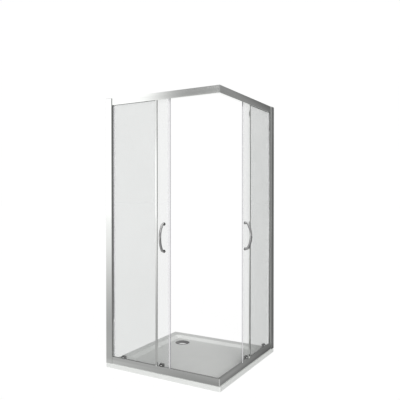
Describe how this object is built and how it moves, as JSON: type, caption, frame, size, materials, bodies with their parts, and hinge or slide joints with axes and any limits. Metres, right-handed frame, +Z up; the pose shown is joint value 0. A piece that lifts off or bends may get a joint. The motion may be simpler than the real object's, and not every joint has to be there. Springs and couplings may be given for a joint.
{
  "type": "corner shower enclosure",
  "caption": "Square corner-entry shower enclosure: chrome frame, clear fixed panes, sliding glass doors with bow handles on grooved rollers, low tray with a domed waste.",
  "frame": {"origin": "centre of the tray's underside", "axes": "+Z up; walls stand at -X and +Y; the entry is the corner at +X, -Y"},
  "size_m": [0.919, 0.919, 1.88],
  "materials": {
    "tray_resin": "smooth moulded resin, satin gloss",
    "frame_chrome": "bright polished",
    "strip_chrome": "bright polished",
    "cap_plastic": "metallised",
    "clear_glass": "clear toughened, polished edges",
    "gasket_rubber": "matte",
    "seal_plastic": "clear, slightly milky",
    "handle_chrome": "bright polished",
    "screw_steel": "plain",
    "hanger_chrome": "bright polished",
    "wheel_plastic": "turned acetal",
    "housing_plastic": "metallised dark",
    "slider_plastic": "moulded",
    "waste_chrome": "bright polished",
    "strainer_steel": "plain"
  },
  "bodies": {
    "frame": {"tray": "tray_resin", "waste_flange": "waste_chrome", "waste_gasket": "gasket_rubber", "waste_strainer": "strainer_steel", "top_corner_joint": "frame_chrome", "bottom_corner_joint": "frame_chrome", "wall_profile_left": "frame_chrome", "wall_profile_right": "frame_chrome", "post_cap_left": "cap_plastic", "post_cap_right": "cap_plastic", "jamb_profile_left": "frame_chrome", "jamb_profile_right": "frame_chrome", "top_rail_left": "frame_chrome", "top_rail_right": "frame_chrome", "bottom_rail_left": "frame_chrome", "bottom_rail_right": "frame_chrome", "glazing_gasket_left": "gasket_rubber", "glazing_gasket_right": "gasket_rubber", "cover_strips_left": "strip_chrome", "cover_strips_right": "strip_chrome", "fixed_glass_left": "clear_glass", "fixed_glass_right": "clear_glass", "panel_stile_left": "frame_chrome", "panel_stile_right": "frame_chrome", "frame_screws_left": "screw_steel", "frame_screws_right": "screw_steel"},
    "waste_cover": {"waste_cover": "waste_chrome"},
    "door_left": {"door_glass_left": "clear_glass", "lead_seal_left": "seal_plastic", "trail_seal_left": "seal_plastic", "handle_left": "handle_chrome", "handle_fixings_left": "handle_chrome", "top_hanger_front_left": "hanger_chrome", "top_hanger_rear_left": "hanger_chrome", "bottom_housing_front_left": "housing_plastic", "bottom_housing_rear_left": "housing_plastic"},
    "door_right": {"door_glass_right": "clear_glass", "lead_seal_right": "seal_plastic", "trail_seal_right": "seal_plastic", "handle_right": "handle_chrome", "handle_fixings_right": "handle_chrome", "top_hanger_front_right": "hanger_chrome", "top_hanger_rear_right": "hanger_chrome", "bottom_housing_front_right": "housing_plastic", "bottom_housing_rear_right": "housing_plastic"},
    "top_wheel_front_left": {"top_wheel_front_left": "wheel_plastic"},
    "bottom_slider_front_left": {"bottom_slider_front_left": "slider_plastic"},
    "bottom_wheel_front_left": {"bottom_wheel_front_left": "wheel_plastic"},
    "top_wheel_rear_left": {"top_wheel_rear_left": "wheel_plastic"},
    "bottom_slider_rear_left": {"bottom_slider_rear_left": "slider_plastic"},
    "bottom_wheel_rear_left": {"bottom_wheel_rear_left": "wheel_plastic"},
    "top_wheel_front_right": {"top_wheel_front_right": "wheel_plastic"},
    "bottom_slider_front_right": {"bottom_slider_front_right": "slider_plastic"},
    "bottom_wheel_front_right": {"bottom_wheel_front_right": "wheel_plastic"},
    "top_wheel_rear_right": {"top_wheel_rear_right": "wheel_plastic"},
    "bottom_slider_rear_right": {"bottom_slider_rear_right": "slider_plastic"},
    "bottom_wheel_rear_right": {"bottom_wheel_rear_right": "wheel_plastic"}
  },
  "joints": [
    {"name": "door_left_slide", "type": "slide", "parent": "frame", "child": "door_left", "axis": [1, 0, 0], "range_m": [-0.0065, 0.347]},
    {"name": "door_right_slide", "type": "slide", "parent": "frame", "child": "door_right", "axis": [0, -1, 0], "range_m": [0, 0.3535]},
    {"name": "top_wheel_front_left_spin", "type": "hinge", "parent": "door_left", "child": "top_wheel_front_left", "pos_m": [-0.0029, -0.4237, 1.8523], "axis": [0, 1, 0], "continuous": true},
    {"name": "bottom_release_front_left", "type": "slide", "parent": "door_left", "child": "bottom_slider_front_left", "axis": [0, 0, 1], "range_m": [0, 0.006], "stiffness_N_per_m": 600, "springref_m": -0.003},
    {"name": "bottom_wheel_front_left_spin", "type": "hinge", "parent": "bottom_slider_front_left", "child": "bottom_wheel_front_left", "pos_m": [-0.0029, -0.4237, 0.0663], "axis": [0, 1, 0], "continuous": true},
    {"name": "top_wheel_rear_left_spin", "type": "hinge", "parent": "door_left", "child": "top_wheel_rear_left", "pos_m": [-0.3199, -0.4237, 1.8523], "axis": [0, 1, 0], "continuous": true},
    {"name": "bottom_release_rear_left", "type": "slide", "parent": "door_left", "child": "bottom_slider_rear_left", "axis": [0, 0, 1], "range_m": [0, 0.006], "stiffness_N_per_m": 600, "springref_m": -0.003},
    {"name": "bottom_wheel_rear_left_spin", "type": "hinge", "parent": "bottom_slider_rear_left", "child": "bottom_wheel_rear_left", "pos_m": [-0.3199, -0.4237, 0.0663], "axis": [0, 1, 0], "continuous": true},
    {"name": "top_wheel_front_right_spin", "type": "hinge", "parent": "door_right", "child": "top_wheel_front_right", "pos_m": [0.4237, 0.0094, 1.8523], "axis": [1, 0, 0], "continuous": true},
    {"name": "bottom_release_front_right", "type": "slide", "parent": "door_right", "child": "bottom_slider_front_right", "axis": [0, 0, 1], "range_m": [0, 0.006], "stiffness_N_per_m": 600, "springref_m": -0.003},
    {"name": "bottom_wheel_front_right_spin", "type": "hinge", "parent": "bottom_slider_front_right", "child": "bottom_wheel_front_right", "pos_m": [0.4237, 0.0094, 0.0663], "axis": [1, 0, 0], "continuous": true},
    {"name": "top_wheel_rear_right_spin", "type": "hinge", "parent": "door_right", "child": "top_wheel_rear_right", "pos_m": [0.4237, 0.3264, 1.8523], "axis": [1, 0, 0], "continuous": true},
    {"name": "bottom_release_rear_right", "type": "slide", "parent": "door_right", "child": "bottom_slider_rear_right", "axis": [0, 0, 1], "range_m": [0, 0.006], "stiffness_N_per_m": 600, "springref_m": -0.003},
    {"name": "bottom_wheel_rear_right_spin", "type": "hinge", "parent": "bottom_slider_rear_right", "child": "bottom_wheel_rear_right", "pos_m": [0.4237, 0.3264, 0.0663], "axis": [1, 0, 0], "continuous": true},
    {"name": "waste_cover_lift", "type": "slide", "parent": "frame", "child": "waste_cover", "axis": [0, 0, 1], "range_m": [0, 0.06]}
  ],
  "couplings": [
    {"joint": "top_wheel_front_left_spin", "follows": "door_left_slide", "rad_per_m": 100},
    {"joint": "bottom_wheel_front_left_spin", "follows": "door_left_slide", "rad_per_m": 100},
    {"joint": "top_wheel_rear_left_spin", "follows": "door_left_slide", "rad_per_m": 100},
    {"joint": "bottom_wheel_rear_left_spin", "follows": "door_left_slide", "rad_per_m": 100},
    {"joint": "top_wheel_front_right_spin", "follows": "door_right_slide", "rad_per_m": 100},
    {"joint": "bottom_wheel_front_right_spin", "follows": "door_right_slide", "rad_per_m": 100},
    {"joint": "top_wheel_rear_right_spin", "follows": "door_right_slide", "rad_per_m": 100},
    {"joint": "bottom_wheel_rear_right_spin", "follows": "door_right_slide", "rad_per_m": 100}
  ]
}
